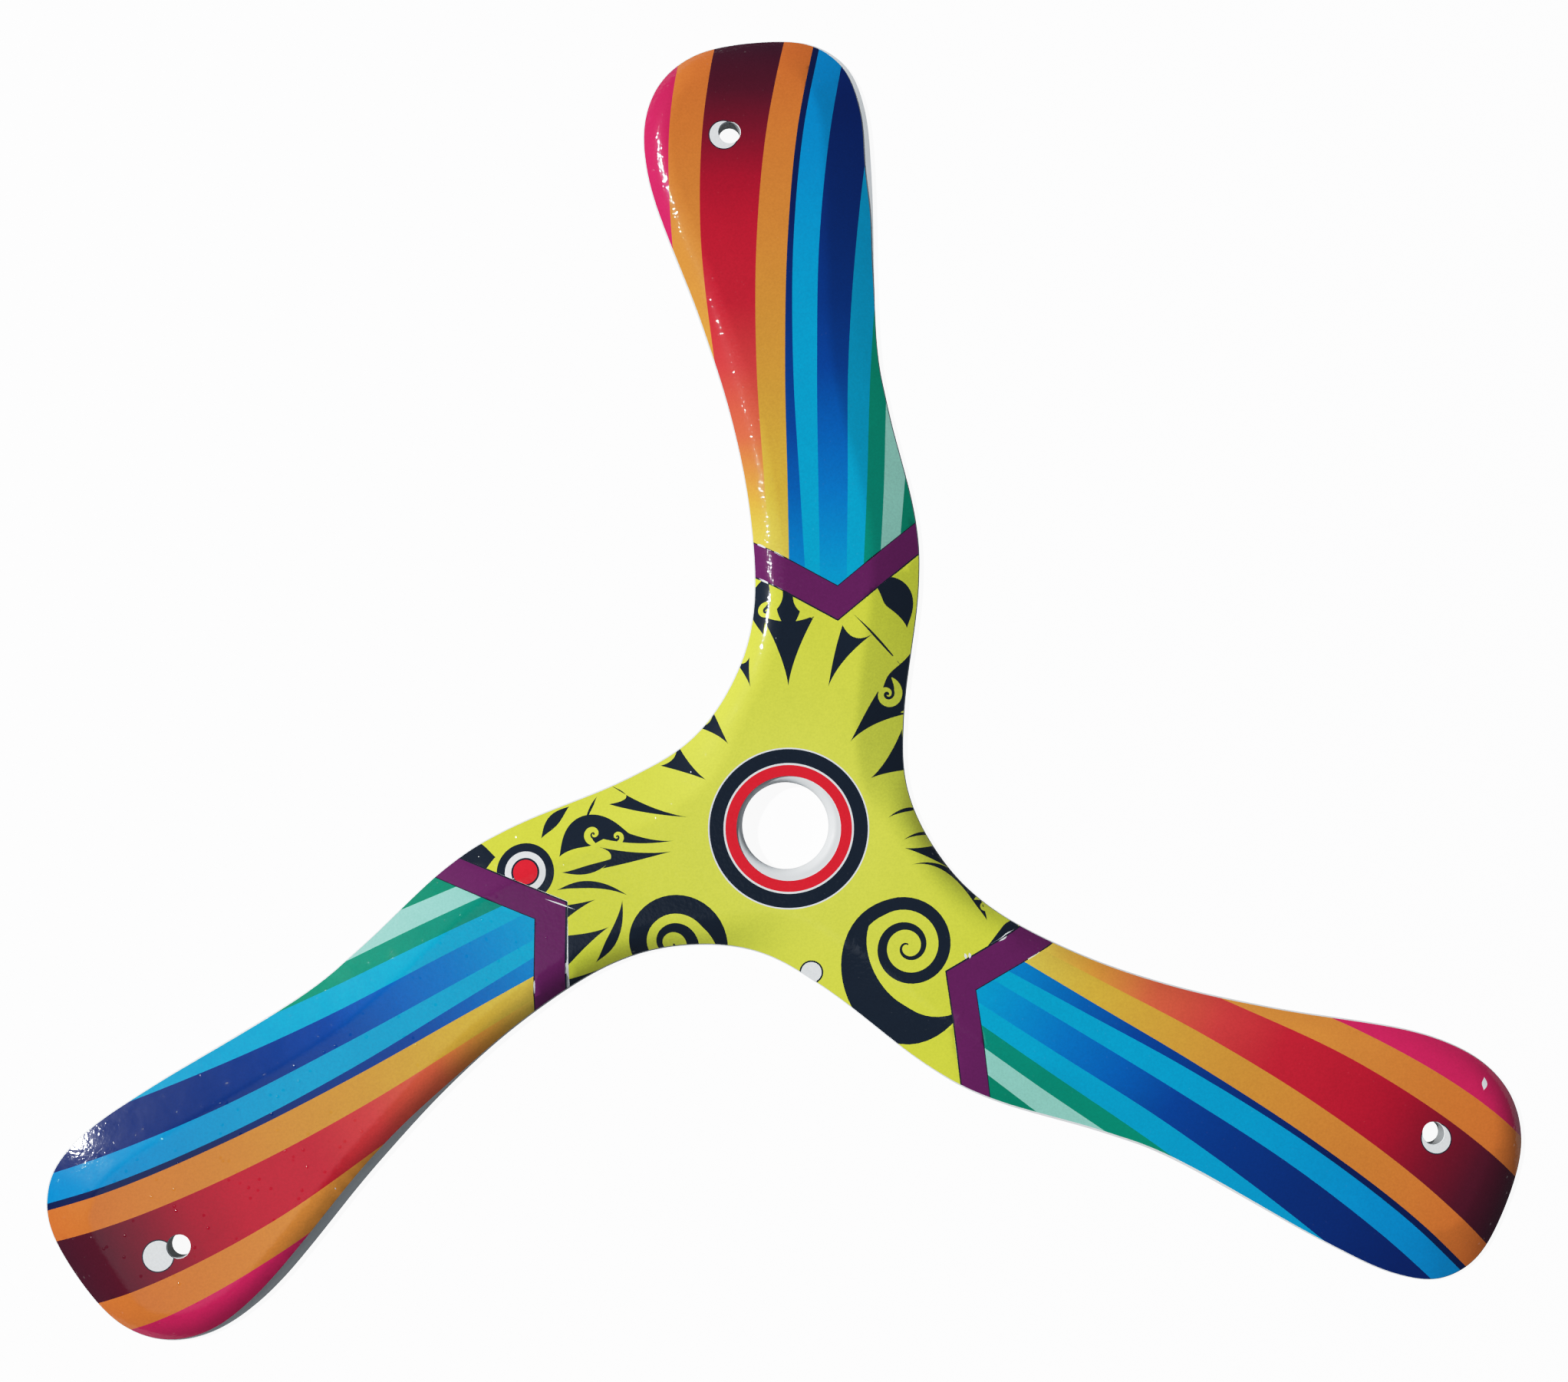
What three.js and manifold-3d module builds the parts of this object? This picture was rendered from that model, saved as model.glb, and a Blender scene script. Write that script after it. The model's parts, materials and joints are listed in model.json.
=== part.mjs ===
// A three-blade boomerang, lying flat with its printed side up. Millimetres, +Z up.
// The hub hole is on the Z axis and the underside is on Z = 0. Blade 1 points along +Y,
// and blades 2 and 3 follow it clockwise as seen from above.

import * as THREE from 'three';
import { mergeVertices } from 'three/addons/utils/BufferGeometryUtils.js';
import Module from 'manifold-3d';

const wasm = await Module();
wasm.setup();

// Driving dimensions.
const bladeCount = 3;
const plateThickness = 3.2;
const edgeHeight = 0.5;
const leadingBevel = 6.0;
const trailingBevel = 9.0;
const hubHoleRadius = 7.9;
const hubRimRadius = 9.4;
const hubRimDepth = 1.5;
const tipHoleRadius = 2.0;
const tipHoleCentre = [-10.2, 129.7];
const filmThickness = 0.2;
const adhesiveGap = 0.1;
const filmInset = 0.3;
const filmHoleRadius = 9.6;
const filmHoleShift = [0.5, -0.5];
const seamGap = 0.3;
const cutDepth = 2.0;
const outlineSteps = 5;
const roundSegments = 48;

// The outline of blade 1: from the valley on its right, up its trailing edge, round the tip
// and down its leading edge to the valley on its left. The curve through the points is smooth.
const bladeOutline = [
  [22.6, 6.5], [22.1, 21.2], [24.9, 43.1], [24.4, 57.5], [19.6, 77.7], [17.4, 92.1],
  [16.8, 121.3], [15.3, 136.6], [10.7, 145.3], [1.0, 148.8], [-16.3, 146.1], [-25.3, 136.6],
  [-25.4, 120.8], [-15.9, 94.6], [-9.9, 75.3], [-6.5, 57.7], [-5.8, 40.8], [-9.1, 27.9],
];

// The inner end of a blade's film is a V that points to the hub. Each film is turned, in
// degrees, and shifted on its blade, because it was laid by hand.
const seamLeft = [-4.5, 45.4];
const seamApex = [9.7, 37.8];
const seamRight = [24.5, 50.1];
const seamReach = 30;
const filmReach = 170;
const filmTurn = [0, -1.8, -1.95];
const filmShift = [[0, 0], [-2.35, 1.0], [-2.95, 4.0]];

// How far across the bevel each ring of the surface lies, from the film's edge to the plateau.
const bevelSteps = [0.25, 0.5, 0.75, 1.0];

const colours = {
  plastic: { color: 0xe6eaec, roughness: 0.45, metalness: 0 },
  hubPrint: { color: 0xd6da48, roughness: 0.3, metalness: 0 },
  bladePrint: { color: 0xc8323c, roughness: 0.3, metalness: 0 },
};

function bladeAngle(index) {
  return -index * 2 * Math.PI / bladeCount;
}

function turned([x, y], angle) {
  const point = new THREE.Vector2(x, y);
  return point.rotateAround(new THREE.Vector2(0, 0), angle);
}

// 1 on a trailing edge, which faces the clockwise way, and 0 on a leading edge.
function trailingShare(point, inward) {
  const clockwise = new THREE.Vector2(point.y, -point.x).normalize();
  return THREE.MathUtils.smoothstep(-inward.dot(clockwise), -0.65, 0.65);
}

// The whole outline, counterclockwise, with the direction inward and the bevel's width.
function makeOutline() {
  const corners = [];
  for (let blade = 0; blade < bladeCount; blade += 1) {
    for (const corner of bladeOutline) {
      const { x, y } = turned(corner, -bladeAngle(blade));
      corners.push(new THREE.Vector3(x, y, 0));
    }
  }
  const curve = new THREE.CatmullRomCurve3(corners, true, 'catmullrom', 0.5);
  const count = corners.length * outlineSteps;
  const stations = [];
  for (let i = 0; i < count; i += 1) {
    const point = curve.getPoint(i / count);
    const tangent = curve.getTangent(i / count);
    const inward = new THREE.Vector2(-tangent.y, tangent.x);
    const share = trailingShare(point, inward);
    const width = THREE.MathUtils.lerp(leadingBevel, trailingBevel, share);
    stations.push({ point, inward, share, width });
  }
  return stations;
}

// One point of the upper surface, a fraction of the way across the bevel from the edge. The
// bevel is round on a leading edge and flat on a trailing edge.
function surfacePoint({ point, inward, share, width }, fraction, lift) {
  const round = 1 - (1 - fraction) ** 2;
  const rise = THREE.MathUtils.lerp(round, fraction, 0.9 * share);
  const x = point.x + inward.x * width * fraction;
  const y = point.y + inward.y * width * fraction;
  const z = edgeHeight + (plateThickness - edgeHeight) * rise + lift;
  return new THREE.Vector3(x, y, z);
}

function surfaceRings(stations, lift) {
  const rings = [stations.map((station) => surfacePoint(station, filmInset / station.width, lift))];
  for (const fraction of bevelSteps) {
    rings.push(stations.map((station) => surfacePoint(station, fraction, lift)));
  }
  return rings;
}

function pushTriangle(positions, a, b, c) {
  positions.push(a.x, a.y, a.z, b.x, b.y, b.z, c.x, c.y, c.z);
}

// Joins rings of equal length into a closed solid: the first and last rings are flat lids.
function solidFromRings(rings) {
  const positions = [];
  for (let r = 0; r + 1 < rings.length; r += 1) {
    const low = rings[r];
    const high = rings[r + 1];
    for (let i = 0; i < low.length; i += 1) {
      const j = (i + 1) % low.length;
      pushTriangle(positions, low[i], low[j], high[j]);
      pushTriangle(positions, low[i], high[j], high[i]);
    }
  }
  for (const ring of [rings[0], rings[rings.length - 1]]) {
    const flat = ring.map((point) => new THREE.Vector2(point.x, point.y));
    for (const [a, b, c] of THREE.ShapeUtils.triangulateShape(flat, [])) {
      if (ring === rings[0]) {
        pushTriangle(positions, ring[a], ring[c], ring[b]);
      } else {
        pushTriangle(positions, ring[a], ring[b], ring[c]);
      }
    }
  }
  const geometry = new THREE.BufferGeometry();
  geometry.setAttribute('position', new THREE.Float32BufferAttribute(positions, 3));
  return toManifold(geometry);
}

function toManifold(geometry) {
  const bare = geometry.index ? geometry.toNonIndexed() : geometry;
  bare.deleteAttribute('normal');
  bare.deleteAttribute('uv');
  const merged = mergeVertices(bare);
  return new wasm.Manifold(new wasm.Mesh({
    numProp: 3,
    vertProperties: merged.attributes.position.array,
    triVerts: Uint32Array.from(merged.index.array),
  }));
}

function toGeometry(manifold) {
  const mesh = manifold.getMesh();
  const geometry = new THREE.BufferGeometry();
  geometry.setAttribute('position', new THREE.BufferAttribute(mesh.vertProperties, 3));
  geometry.setIndex(new THREE.BufferAttribute(mesh.triVerts, 1));
  geometry.computeVertexNormals();
  return geometry;
}

// A round cutter on the Z axis, moved to a centre in the plan.
function roundCutter(radius, centre) {
  const height = plateThickness + 2 * cutDepth;
  const geometry = new THREE.CylinderGeometry(radius, radius, height, roundSegments);
  geometry.rotateX(Math.PI / 2);
  geometry.translate(centre.x, centre.y, plateThickness / 2);
  return toManifold(geometry);
}

// The hub hole: a straight bore with its upper rim rounded over.
function hubCutter() {
  const rimWidth = hubRimRadius - hubHoleRadius;
  const profile = [new THREE.Vector2(0, -cutDepth), new THREE.Vector2(hubHoleRadius, -cutDepth)];
  const rimSteps = 4;
  for (let step = 0; step <= rimSteps; step += 1) {
    const angle = step / rimSteps * Math.PI / 2;
    const radius = hubHoleRadius + rimWidth * (1 - Math.cos(angle));
    profile.push(new THREE.Vector2(radius, plateThickness - hubRimDepth * (1 - Math.sin(angle))));
  }
  profile.push(new THREE.Vector2(hubRimRadius, plateThickness + cutDepth));
  profile.push(new THREE.Vector2(0, plateThickness + cutDepth));
  const geometry = new THREE.LatheGeometry(profile, roundSegments);
  geometry.rotateX(Math.PI / 2);
  return toManifold(geometry);
}

// Where a point of a blade film's own plan lies on the boomerang.
function laid(point, blade) {
  const moved = turned(point, THREE.MathUtils.degToRad(filmTurn[blade]));
  moved.add(new THREE.Vector2(...filmShift[blade]));
  return turned(moved.toArray(), bladeAngle(blade));
}

// The part of the plan that blade film covers, from its V seam past the tip, as a tall block.
function bladeRegion(blade, widen) {
  const slopeLeft = (seamLeft[1] - seamApex[1]) / (seamLeft[0] - seamApex[0]);
  const slopeRight = (seamRight[1] - seamApex[1]) / (seamRight[0] - seamApex[0]);
  const left = seamLeft[0] - seamReach;
  const right = seamRight[0] + seamReach;
  const plan = [
    [seamApex[0], seamApex[1] - widen],
    [right, seamRight[1] + slopeRight * seamReach - widen],
    [right, filmReach],
    [left, filmReach],
    [left, seamLeft[1] - slopeLeft * seamReach - widen],
  ];
  const shape = new THREE.Shape(plan.map((corner) => laid(corner, blade)));
  const height = plateThickness + 2 * cutDepth;
  const geometry = new THREE.ExtrudeGeometry(shape, { depth: height, bevelEnabled: false });
  geometry.translate(0, 0, -cutDepth);
  return toManifold(geometry);
}

function makePlate(stations, tipCutters) {
  const underside = stations.map(({ point }) => new THREE.Vector3(point.x, point.y, 0));
  const edge = stations.map((station) => surfacePoint(station, 0, 0));
  let plate = solidFromRings([underside, edge, ...surfaceRings(stations, 0)]);
  plate = plate.subtract(hubCutter());
  for (const cutter of tipCutters) {
    plate = plate.subtract(cutter);
  }
  return plate;
}

// The film before it is cut apart: a skin that follows the plate's upper surface.
function makeFilmSheet(stations, tipCutters) {
  const under = surfaceRings(stations, adhesiveGap).reverse();
  const over = surfaceRings(stations, adhesiveGap + filmThickness);
  let sheet = solidFromRings([...under, ...over]);
  sheet = sheet.subtract(roundCutter(filmHoleRadius, new THREE.Vector2(...filmHoleShift)));
  for (const cutter of tipCutters) {
    sheet = sheet.subtract(cutter);
  }
  return sheet;
}

function addPiece(group, name, manifold, finish) {
  const mesh = new THREE.Mesh(toGeometry(manifold), new THREE.MeshStandardMaterial(finish));
  mesh.name = name;
  group.add(mesh);
}

const stations = makeOutline();
const tipCutters = [];
for (let blade = 0; blade < bladeCount; blade += 1) {
  tipCutters.push(roundCutter(tipHoleRadius, turned(tipHoleCentre, bladeAngle(blade))));
}

const group = new THREE.Group();
addPiece(group, 'plate', makePlate(stations, tipCutters), colours.plastic);

const sheet = makeFilmSheet(stations, tipCutters);
let hubFilm = sheet;
for (let blade = 0; blade < bladeCount; blade += 1) {
  hubFilm = hubFilm.subtract(bladeRegion(blade, seamGap));
  const bladeFilm = sheet.intersect(bladeRegion(blade, 0));
  addPiece(group, `blade_film_${blade + 1}`, bladeFilm, colours.bladePrint);
}
addPiece(group, 'hub_film', hubFilm, colours.hubPrint);

export default group;
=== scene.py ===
"""A three-blade boomerang: a bevelled white plate wrapped on top with printed, glossy film."""

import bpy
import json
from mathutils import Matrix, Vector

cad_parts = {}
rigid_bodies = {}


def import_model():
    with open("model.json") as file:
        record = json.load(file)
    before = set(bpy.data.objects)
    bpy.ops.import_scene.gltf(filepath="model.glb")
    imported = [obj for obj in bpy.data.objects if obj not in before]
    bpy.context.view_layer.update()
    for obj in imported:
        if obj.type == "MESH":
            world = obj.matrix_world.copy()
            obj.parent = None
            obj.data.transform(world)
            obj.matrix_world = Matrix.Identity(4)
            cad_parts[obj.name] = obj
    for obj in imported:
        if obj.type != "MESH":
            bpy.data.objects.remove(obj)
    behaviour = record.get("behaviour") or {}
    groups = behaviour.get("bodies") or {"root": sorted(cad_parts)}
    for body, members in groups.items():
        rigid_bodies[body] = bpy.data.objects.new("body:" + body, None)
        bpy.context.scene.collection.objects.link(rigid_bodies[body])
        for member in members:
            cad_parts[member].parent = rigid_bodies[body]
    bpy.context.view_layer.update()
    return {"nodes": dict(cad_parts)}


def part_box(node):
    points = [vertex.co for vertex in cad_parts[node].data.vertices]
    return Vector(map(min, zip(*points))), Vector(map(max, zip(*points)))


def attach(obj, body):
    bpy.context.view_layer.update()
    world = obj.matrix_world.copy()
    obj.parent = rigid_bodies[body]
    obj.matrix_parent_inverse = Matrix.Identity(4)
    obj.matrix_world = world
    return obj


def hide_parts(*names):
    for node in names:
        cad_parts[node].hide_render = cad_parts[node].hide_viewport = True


bl_info = {
    "name": "Three-Blade Boomerang",
    "version": (1, 0, 0),
    "blender": (4, 5, 0),
    "location": "3D Viewport > Sidebar > Boomerang",
    "description": "Builds a printed three-blade boomerang around its packed frame",
    "category": "Add Mesh",
}

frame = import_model()

import json
import math

import bmesh
import bpy
import numpy as np
from mathutils import Vector
from mathutils.geometry import delaunay_2d_cdt
from mathutils.kdtree import KDTree

MM = 0.001
BLADES = 3
BODY = "root"
WELD = 1e-6

# How far across the bevel each ring of the plate lies, from the edge to just past the crease.
BEVEL_STEPS = (0.05, 0.1, 0.2, 0.3, 0.4, 0.5, 0.6, 0.7, 0.8, 0.9, 0.95, 1.0, 1.05, 1.1)

# Keeps the smoothed outline within the box of the straight-sided one it is drawn through.
SHRINK = 0.9996

# How the film's four pieces lie. Each blade's print is turned and moved against its blade,
# because it was laid by hand: degrees, then millimetres across and along the blade.
PRINT_TURN = [0.0, -1.8, -1.95]
PRINT_SHIFT = [(0.0, 0.0), (-2.35, 1.0), (-2.95, 4.0)]

# The V band across the inner end of a blade's print, in millimetres in the blade's own plan.
BAND_LEFT = (-4.45, 45.45)
BAND_APEX = (9.65, 37.8)
BAND_RIGHT = (24.45, 50.1)
BAND_DEPTH = 6.0
BAND_LINE = 0.2
BAND_REACH = 30.0

# How far the hub's film stops short of each blade's film, at the band's three corners.
SEAM_GAPS = [(0.01, 0.01, 0.01), (0.01, 0.01, 0.01), (0.55, 0.12, 0.01)]

# A printed target near the tip, which the drill was meant to follow.
TARGET_CENTRE = (-11.3, 129.2)
TARGET_RADIUS = 2.65
TARGET_LINE = 0.2

# The stripes of a blade, from its leading edge to its trailing edge. Each has its left edge at
# the stations along the blade, in millimetres, and its colours along the blade as sRGB stops.
STATIONS = (34, 62, 85, 110, 130, 150)
STRIPES = [
    ("pink", None, [(110, (212, 36, 96)), (130, (202, 33, 90)), (145, (168, 28, 76))]),
    ("orange", (-9, -14, -17.5, -21, -21.5, -19), [
        (85, (224, 150, 62)), (110, (213, 134, 56)), (130, (209, 120, 49)), (145, (200, 108, 46))]),
    ("red", (-6, -9.5, -12.8, -15.6, -15.3, -12.6), [
        (48, (228, 208, 84)), (60, (226, 160, 62)), (72, (218, 100, 66)), (85, (208, 62, 62)),
        (97, (192, 32, 50)), (112, (186, 24, 47)), (121, (168, 18, 43)), (130, (122, 17, 39)),
        (138, (80, 17, 36)), (147, (56, 16, 34))]),
    ("amber", (-1.6, -3.7, -5.2, -5.1, -3.3, 0.5), [
        (46, (220, 196, 82)), (62, (213, 175, 61)), (85, (210, 153, 57)), (110, (209, 134, 53)),
        (130, (208, 122, 50)), (146, (199, 104, 44))]),
    ("line", (0.9, 0.5, 0.1, 0.7, 2.5, 6.2), [
        (46, (0, 134, 200)), (62, (0, 94, 175)), (73, (2, 66, 152)), (97, (4, 42, 116)),
        (115, (5, 27, 86)), (146, (6, 22, 70))]),
    ("cyan", (4.4, 2.8, 1.6, 1.8, 3.65, 7.4), [
        (50, (0, 164, 204)), (97, (0, 157, 203)), (112, (0, 149, 202)), (125, (0, 140, 200)),
        (142, (0, 132, 197))]),
    ("navy", (6.6, 6.2, 6.05, 6.65, 8.7, 12.2), [
        (44, (0, 156, 204)), (52, (0, 140, 202)), (62, (0, 116, 192)), (73, (0, 94, 178)),
        (85, (2, 65, 152)), (97, (3, 52, 132)), (112, (4, 43, 116)), (135, (4, 33, 101))]),
    ("sky", (11.1, 11.6, 11.9, 13.7, 16.2, 20), [
        (50, (0, 164, 204)), (85, (0, 160, 202)), (110, (0, 152, 200))]),
    ("green", (13.7, 15.2, 16.2, 18.2, 20.5, 24.5), [(50, (0, 138, 118)), (85, (0, 142, 114))]),
    ("mint", (16.5, 18.4, 19.4, 21.5, 24, 27.5), [(50, (144, 204, 190)), (85, (152, 210, 196))]),
    ("leaf", (19.6, 22.3, 24.5, 27, 30, 33), [(50, (0, 132, 104)), (85, (0, 138, 108))]),
]

# How deep the orange-peel grain lies in each film, in millimetres.
FILM_GRAIN = (0.075, 0.03, 0.024)
HUB_GRAIN = 0.034

# The stage: the floor and the lamp in metres and watts, then the camera's place in millimetres,
# its turn in degrees and its lens.
FLOOR_WIDTH = 40
LAMP_PLACE = (-4.28, 1.47, 3.94)
LAMP_WIDTH = 0.22
LAMP_POWER = 458
CAMERA_PLACE = (-13.3, -6.1, 344.1)
CAMERA_TURN = (5.13, -2.17, -0.18)
CAMERA_LENS = 43.0

# How dark the painted shade on the walls of the tip holes is, beside the plain plastic.
BORE_PAINTED_SHADE = 0.4

# The rings round the hub hole, from the outside in: radius in millimetres and ink.
HUB_CENTRE = (0.5, -0.55)
HUB_RINGS = [(14.65, "white"), (14.4, "black"), (11.85, "white"), (11.5, "red")]

# Black thorns that point at the hub: bearing in degrees, then tip radius, base radius, half
# width of the base, sideways bend and how deeply the base is scooped, in millimetres.
THORNS = [
    (90, 26.0, 39.0, 4.9, 0.0, 1.2), (74.2, 26.8, 38.5, 2.9, -2.4, 1.6),
    (105, 26.6, 32.2, 1.3, 0.0, 0.8), (125.6, 18.8, 25.4, 2.2, 0.9, 1.2),
    (149.6, 17.4, 26.0, 2.7, -0.8, 1.4), (54.3, 19.4, 30.0, 3.4, -2.2, 1.0),
    (31.2, 17.6, 27.5, 4.2, 0.5, 1.5), (173.6, 18.4, 33.0, 1.7, -2.5, 3.0),
    (186, 21.0, 34.0, 1.8, -3.6, 2.0), (191, 21.6, 34.5, 2.0, -1.4, 2.0),
    (-9.8, 21.4, 30.5, 2.6, 0.4, 1.0), (200, 37.2, 47.0, 2.4, 0.6, 1.0),
    (208.5, 37.0, 48.0, 3.6, -0.6, 1.0), (217, 40.6, 49.5, 3.4, 0.4, 1.0),
]

# Black brush strokes that taper to both ends: the points they run through, the greatest width
# and how far along the stroke it lies, in millimetres.
STROKES = [
    ([(18.6, 1.3), (21.0, 2.5), (24.4, 3.0)], 0.7, 0.7),
    ([(21.4, -2.7), (24.0, -1.7), (27.2, -1.6)], 0.6, 0.7),
    ([(22.8, -7.2), (28.8, -7.8), (33.0, -11.0), (36.6, -17.4)], 1.5, 0.75),
    ([(27.6, -4.6), (35.2, -10.2), (44.2, -19.6)], 3.6, 0.5),
    ([(32.6, -26.4), (37.2, -22.8), (42.8, -16.8)], 3.0, 0.75),
    ([(20.6, -13.0), (12.5, -21.6), (16.6, -33.4), (32.4, -33.0)], 7.2, 0.68),
    ([(12.4, 38.8), (16.8, 34.4), (21.6, 29.2)], 0.45, 0.5),
    ([(15.4, 45.2), (20.0, 43.0), (22.6, 36.4)], 5.6, 0.5),
    ([(23.6, 32.4), (22.0, 26.0), (15.4, 19.4)], 6.8, 0.45),
    ([(-3.0, 46.2), (-4.6, 41.2), (-4.0, 34.8)], 3.8, 0.45),
    ([(0.5, 46.5), (0.6, 41.0), (0.5, 35.0)], 4.4, 0.55),
    ([(-44.4, -2.3), (-42.4, 0.8), (-39.4, 3.6)], 2.1, 0.5),
    ([(-40.6, -8.4), (-35.8, -7.9), (-30.8, -5.6)], 1.5, 0.5),
    ([(-34.4, 5.4), (-35.6, 3.0), (-36.6, 0.4)], 0.5, 0.4),
    ([(-61.0, -7.0), (-56.6, -6.0), (-52.6, -5.6)], 6.4, 0.55),
    ([(-41.0, 5.0), (-36.2, 8.2), (-30.0, 8.0)], 0.8, 0.5),
    ([(-41.0, -5.6), (-36.4, -1.0), (-28.2, -1.6)], 5.6, 0.45),
    ([(-34.4, -24.6), (-31.0, -19.6), (-29.6, -13.4)], 1.8, 0.4),
    ([(-41.4, -11.6), (-35.2, -10.6), (-28.6, -12.6)], 1.3, 0.4),
]

# Strokes left in the ground's colour where they cross the black ones, given the same way.
LIGHT_STROKES = [
    ([(-1.8, 46.0), (-1.4, 41.6), (-3.6, 38.0)], 1.7, 0.5),
    ([(2.4, 45.0), (2.4, 41.0), (5.2, 37.8)], 1.7, 0.5),
    ([(23.0, 32.6), (19.6, 30.0), (16.0, 25.6)], 1.3, 0.4),
    ([(31.4, -8.2), (36.4, -11.6), (38.2, -15.6)], 1.0, 0.5),
    ([(-41.6, -7.0), (-36.6, -5.0), (-32.6, -3.0)], 1.5, 0.5),
]

# Plain spirals: centre, outer radius, turns, bearing of the outer end in degrees, and the
# band's greatest width, in millimetres. A negative turn count winds the other way.
SPIRALS = [(22.0, -22.0, 10.2, 2.3, 185, 2.3), (-20.8, -21.4, 10.6, -2.1, -24, 3.4)]
LIGHT_SPIRALS = [
    (18.8, 24.0, 3.3, 1.6, 75, 1.5), (-3.5, 39.2, 1.9, -1.3, 70, 0.9),
    (4.6, 39.2, 1.9, 1.3, 110, 0.9), (-34.9, -1.5, 2.2, 1.4, -70, 1.2),
    (-30.6, -2.0, 1.6, -1.3, -110, 0.8), (36.2, -14.6, 2.1, 1.4, 150, 1.0),
]

# Small printed targets: centre, then radii from the outside in, of black and white by turns
# with red in the middle, in millimetres.
TARGETS = [(-47.1, -8.3, 5.2, 3.7, 2.55, 2.2), (4.6, -26.6, 2.15, 1.85)]

# Small white flecks on the print: two ends and a width, in millimetres.
FLECKS = [
    ((127.4, -46.1), (126.9, -48.4), 1.1), ((32.3, -23.2), (32.5, -24.3), 0.5),
    ((33.1, -23.1), (33.2, -24.2), 0.5), ((-43.6, -13.1), (-38.0, -15.1), 0.24),
]

# Short stretches where the film was trimmed back further from the plate's edge: a place on the
# edge, how far the trimming runs to each side, and how much more plastic it bares.
TRIMMED = [(14.8, 133, 15, 0.9), (16.6, 116, 14, 0.35), (-82, -68, 27, 1.4), (62, -57, 30, 0.2)]


def linear(colour):
    """Turns sRGB values from 0 to 255 into the linear values that shaders use."""
    values = []
    for value in colour:
        part = value / 255
        values.append(part / 12.92 if part <= 0.04045 else ((part + 0.055) / 1.055) ** 2.4)
    return tuple(values)


# Settings


class BoomerangSizes(bpy.types.PropertyGroup):
    """Sizes of the plate's bevels and of the film on it."""

    edge_height: bpy.props.FloatProperty(
        name="Edge height", description="Height of the plate's upright edge",
        default=0.5 * MM, min=0.3 * MM, max=3 * MM, precision=5, unit="LENGTH")
    leading_bevel: bpy.props.FloatProperty(
        name="Leading bevel", description="Width of the rounded bevel on each leading edge",
        default=5.8 * MM, min=2 * MM, max=8 * MM, precision=5, unit="LENGTH")
    trailing_bevel: bpy.props.FloatProperty(
        name="Trailing bevel", description="Width of the flat bevel on each trailing edge",
        default=9 * MM, min=2 * MM, max=11 * MM, precision=5, unit="LENGTH")
    rim_radius: bpy.props.FloatProperty(
        name="Rim rounding", description="Rounding of the hub hole's upper rim",
        default=1.5 * MM, min=0.2 * MM, max=2 * MM, precision=5, unit="LENGTH")
    film_inset: bpy.props.FloatProperty(
        name="Film inset", description="Width of bare plastic between the film and the edge",
        default=0.2 * MM, min=0.1 * MM, max=2 * MM, precision=5, unit="LENGTH")
    film_thickness: bpy.props.FloatProperty(
        name="Film thickness", description="Thickness of the printed film",
        default=0.11 * MM, min=0.05 * MM, max=0.15 * MM, precision=6, unit="LENGTH")
    film_lift: bpy.props.FloatProperty(
        name="Film lift", description="Height of the film's printed face over the plastic",
        default=0.14 * MM, min=0.12 * MM, max=0.25 * MM, precision=6, unit="LENGTH")


class BoomerangColours(bpy.types.PropertyGroup):
    """Colours of the plastic and of the inks round the hub."""

    plastic: bpy.props.FloatVectorProperty(
        name="Plastic", description="White sheet plastic of the plate", subtype="COLOR",
        size=3, min=0, max=1, default=linear((228, 232, 234)))
    ground: bpy.props.FloatVectorProperty(
        name="Hub ground", description="Yellow-green ground of the hub's print", subtype="COLOR",
        size=3, min=0, max=1, default=linear((210, 217, 66)))
    glow: bpy.props.FloatVectorProperty(
        name="Hub glow", description="Paler ground close to the hub hole", subtype="COLOR",
        size=3, min=0, max=1, default=linear((217, 224, 84)))
    black: bpy.props.FloatVectorProperty(
        name="Black ink", description="Blue-black of spikes, spirals and rings", subtype="COLOR",
        size=3, min=0, max=1, default=linear((22, 32, 46)))
    red: bpy.props.FloatVectorProperty(
        name="Red ink", description="Red of the ring and the target", subtype="COLOR",
        size=3, min=0, max=1, default=linear((226, 32, 48)))
    white: bpy.props.FloatVectorProperty(
        name="White ink", description="White of thin rings and targets", subtype="COLOR",
        size=3, min=0, max=1, default=linear((232, 236, 238)))
    band: bpy.props.FloatVectorProperty(
        name="Band ink", description="Purple of the V bands", subtype="COLOR",
        size=3, min=0, max=1, default=linear((100, 30, 90)))


# Plan geometry: everything here works in metres on the XY plane.


def turn(points, degrees):
    """Turns plan points round the Z axis, counterclockwise."""
    angle = math.radians(degrees)
    spin = np.array([[math.cos(angle), math.sin(angle)], [-math.sin(angle), math.cos(angle)]])
    return np.asarray(points, float) @ spin


def smooth_loop(points, steps):
    """A smooth closed curve through the points, with so many steps between neighbours."""
    before, after = np.roll(points, 1, 0), np.roll(points, -1, 0)
    beyond = np.roll(points, -2, 0)
    rows = []
    for step in range(steps):
        t = step / steps
        rows.append(0.5 * (
            2 * points + (after - before) * t
            + (2 * before - 5 * points + 4 * after - beyond) * t ** 2
            + (3 * points - before - 3 * after + beyond) * t ** 3))
    return np.stack(rows, 1).reshape(-1, 2)


def circle(centre, radius, steps=96):
    """A round plan outline."""
    angles = np.linspace(0, 2 * math.pi, steps, endpoint=False)
    return np.stack([np.cos(angles), np.sin(angles)], 1) * radius + np.asarray(centre)


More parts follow.
